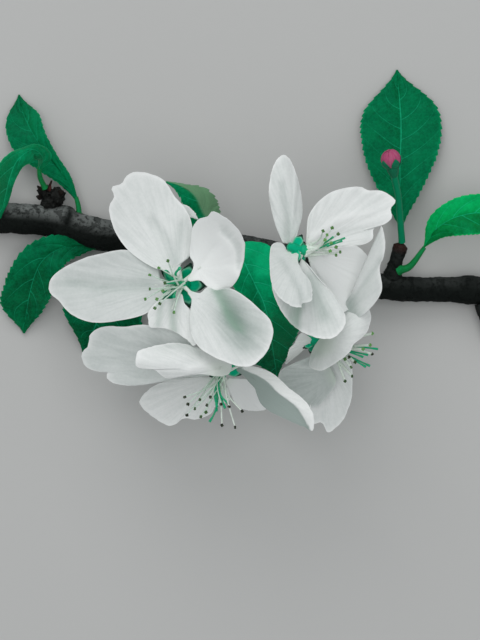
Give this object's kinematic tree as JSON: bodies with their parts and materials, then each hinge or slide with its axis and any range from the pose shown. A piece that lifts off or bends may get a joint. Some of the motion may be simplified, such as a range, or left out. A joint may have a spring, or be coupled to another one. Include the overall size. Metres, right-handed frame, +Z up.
{
  "type": "cut flowering fruit-tree branch with white blossom",
  "caption": "Short branch of a white-blossomed fruit tree, cut at both ends, with open blooms, a pink bud, leaves and spurs, lying on its leaves.",
  "frame": {"origin": "middle of the bounding box, at its lowest level, which is the floor the branch lies on", "axes": "+X along the branch from its thick cut end to its thin cut end, +Y towards the leaf behind the bud, +Z up from the floor, the way the blooms face"},
  "size_m": [0.12, 0.078, 0.0486],
  "materials": {
    "bark": "dark smooth bark, grey where lit",
    "leaf": "satin green leaf with pale veins",
    "petal": "soft white petal",
    "stalk": "green flower stalk and calyx",
    "stamen": "white filaments with dark anthers and green styles",
    "bud": "closed pink petals"
  },
  "bodies": {
    "root": {"main_branch": "bark", "left_spur": "bark", "cluster_spur": "bark", "right_spur": "bark", "end_twig": "bark", "leaf_curled": "leaf", "leaf_back_left": "leaf", "leaf_low_left": "leaf", "leaf_low_middle": "leaf", "leaf_upper": "leaf", "leaf_centre": "leaf", "leaf_right": "leaf", "leaf_back_right": "leaf", "bloom_left": "petal", "stalk_left": "stalk", "stamens_left": "stamen", "bloom_low": "petal", "stalk_low": "stalk", "stamens_low": "stamen", "bloom_right": "petal", "stalk_right": "stalk", "stamens_right": "stamen", "bloom_corner": "petal", "stalk_corner": "stalk", "stamens_corner": "stamen", "bud": "bud", "stalk_bud": "stalk"}
  },
  "joints": []
}
